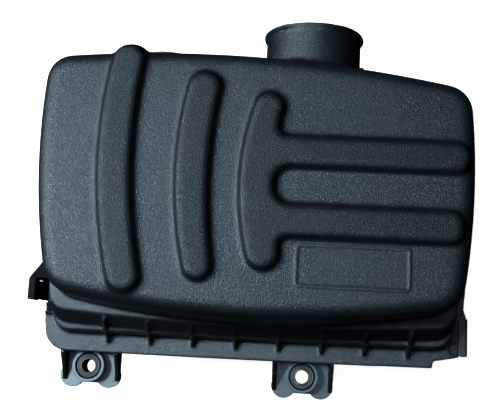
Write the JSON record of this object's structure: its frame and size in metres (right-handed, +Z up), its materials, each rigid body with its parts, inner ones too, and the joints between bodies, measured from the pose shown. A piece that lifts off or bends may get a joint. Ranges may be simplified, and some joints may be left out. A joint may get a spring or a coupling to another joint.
{
  "type": "engine air filter housing",
  "caption": "Black moulded car air box: ribbed cover hinged on a tray, side spring clips, pleated panel filter, rear outlet spigot, intake stub and front mounting ears.",
  "frame": {"origin": "middle of the flange outline, within 1 mm, on the parting plane between the cover flange and the tray flange", "axes": "+Z up out of the cover's ribbed panel, +Y to the rear where the outlet and the hinge are, +X to the right seen from the front, where the mounting ears are"},
  "size_m": [0.3016, 0.2459, 0.169],
  "materials": {
    "cover_plastic": "grained black moulding",
    "tray_plastic": "black moulding, smoother on the ears",
    "clip_steel": "grey phosphated spring steel, coarse",
    "clip_black": "black coated spring steel",
    "pin_steel": "plain",
    "sleeve_steel": "yellow zinc plated",
    "bush_rubber": "matt",
    "filter_paper": "pleated",
    "seal_foam": "moulded polyurethane",
    "band_card": "plain",
    "glue": "hot-melt",
    "screen_mesh": "moulded grid",
    "screw_steel": "zinc plated"
  },
  "bodies": {
    "tray": {"lower_tray": "tray_plastic", "filter_media": "filter_paper", "filter_seal": "seal_foam", "filter_end_bands": "band_card", "filter_glue_beads": "glue", "clip_pin_left": "pin_steel", "clip_pin_right": "pin_steel", "hinge_bar_left": "pin_steel", "hinge_bar_right": "pin_steel", "mount_grommet_left": "bush_rubber", "mount_grommet_right": "bush_rubber", "mount_sleeve_left": "sleeve_steel", "mount_sleeve_right": "sleeve_steel", "inlet_gasket": "bush_rubber", "inlet_snorkel": "tray_plastic", "inlet_screws": "screw_steel", "rear_bush": "bush_rubber", "drain_valve": "bush_rubber", "foot_pads": "bush_rubber"},
    "cover": {"upper_cover": "cover_plastic", "outlet_screen": "screen_mesh"},
    "clip_left": {"clip_left": "clip_black"},
    "clip_right": {"clip_right": "clip_steel"}
  },
  "joints": [
    {"name": "cover_hinge", "type": "hinge", "parent": "tray", "child": "cover", "pos_m": [0, 0.107, -0.006], "axis": [-1, 0, 0], "range_deg": [0, 60]},
    {"name": "clip_left_pivot", "type": "hinge", "parent": "tray", "child": "clip_left", "pos_m": [-0.13974, -0.0574, -0.042], "axis": [0, -1, 0], "range_deg": [-16.5, 85]},
    {"name": "clip_right_pivot", "type": "hinge", "parent": "tray", "child": "clip_right", "pos_m": [0.13874, -0.0764, -0.042], "axis": [0, 1, 0], "range_deg": [-4, 95]}
  ]
}
